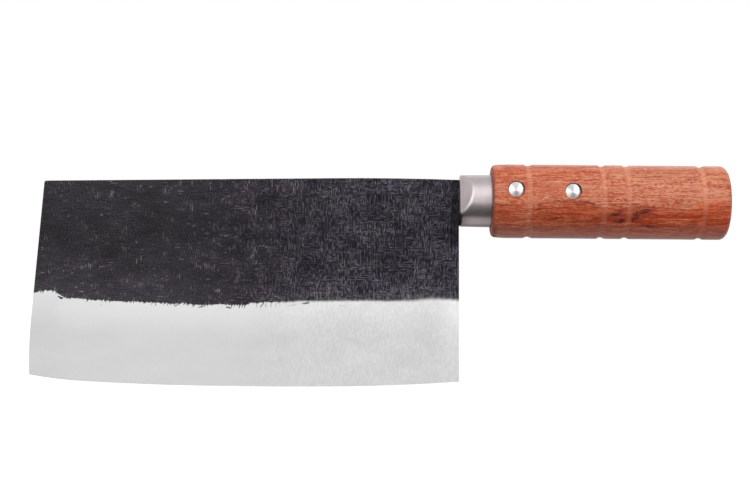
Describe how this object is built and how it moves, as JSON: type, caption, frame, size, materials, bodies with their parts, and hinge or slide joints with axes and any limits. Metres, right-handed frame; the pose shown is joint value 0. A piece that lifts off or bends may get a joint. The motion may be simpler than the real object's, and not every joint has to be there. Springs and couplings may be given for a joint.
{
  "type": "chinese cleaver",
  "caption": "Tall rectangular kitchen cleaver with a dark forge-finish blade, a wide bright bevel, a steel bolster and a round turned wooden grip, for slicing and chopping.",
  "frame": {"origin": "on the grip's axis, in the middle of the long plain stretch between its first two grooves, where the hand closes", "axes": "+X along the grip towards its butt, +Z from the cutting edge towards the spine, Y across the blade's thickness with y = 0 at its mid-plane"},
  "size_m": [0.3057, 0.0324, 0.0988],
  "materials": {
    "blade_steel": "dark forge scale above, satin ground bevel below",
    "bolster_steel": "satin polished",
    "handle_wood": "oiled red-brown hardwood",
    "adhesive": "cured epoxy",
    "rivet_steel": "turned bright"
  },
  "bodies": {
    "root": {"blade": "blade_steel", "bolster": "bolster_steel", "handle": "handle_wood", "tang_bedding": "adhesive", "front_rivet_post": "rivet_steel", "front_rivet_barrel": "rivet_steel", "rear_rivet_post": "rivet_steel", "rear_rivet_barrel": "rivet_steel"}
  },
  "joints": []
}
